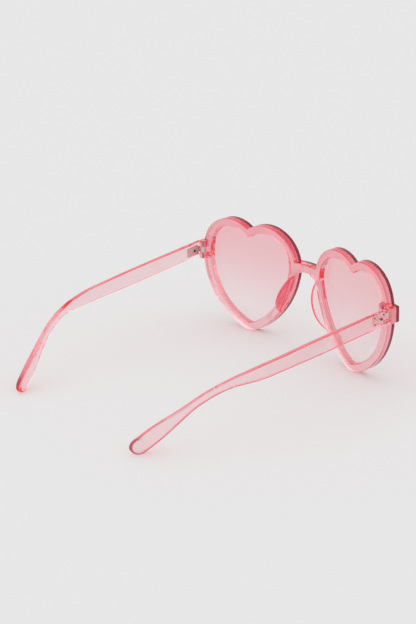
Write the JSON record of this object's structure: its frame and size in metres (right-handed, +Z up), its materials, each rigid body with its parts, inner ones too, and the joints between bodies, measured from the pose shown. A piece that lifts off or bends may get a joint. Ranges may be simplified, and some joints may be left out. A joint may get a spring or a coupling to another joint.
{
  "type": "heart shaped sunglasses",
  "caption": "Heart shaped sunglasses in translucent pink plastic, with a graded sheet lens, moulded nose pads and temples that fold on screw hinges.",
  "frame": {"origin": "middle of the footprint, on the table that the open pair stands on", "axes": "+X to the wearer's left, +Y back along the temples, +Z up"},
  "size_m": [0.1432, 0.1544, 0.061],
  "materials": {
    "frame_plastic": "polished translucent pink",
    "lens_sheet": "clear pink, darker at the top",
    "temple_plastic": "polished translucent pale pink",
    "hinge_metal": "stamped, satin",
    "rivet_metal": "rolled, satin",
    "screw_steel": "bright"
  },
  "bodies": {
    "front": {"front_frame": "frame_plastic", "front_lens": "lens_sheet", "left_hinge_screw": "screw_steel", "right_hinge_screw": "screw_steel"},
    "left_arm": {"left_temple": "temple_plastic", "left_temple_hinge": "hinge_metal", "left_hinge_rivet": "rivet_metal"},
    "right_arm": {"right_temple": "temple_plastic", "right_temple_hinge": "hinge_metal", "right_hinge_rivet": "rivet_metal"}
  },
  "joints": [
    {"name": "left_temple_fold", "type": "hinge", "parent": "front", "child": "left_arm", "pos_m": [0.0666, -0.05909, 0.0408], "axis": [0, 0, 1], "range_deg": [0, 82]},
    {"name": "right_temple_fold", "type": "hinge", "parent": "front", "child": "right_arm", "pos_m": [-0.0666, -0.05909, 0.0408], "axis": [0, 0, -1], "range_deg": [0, 74]}
  ]
}
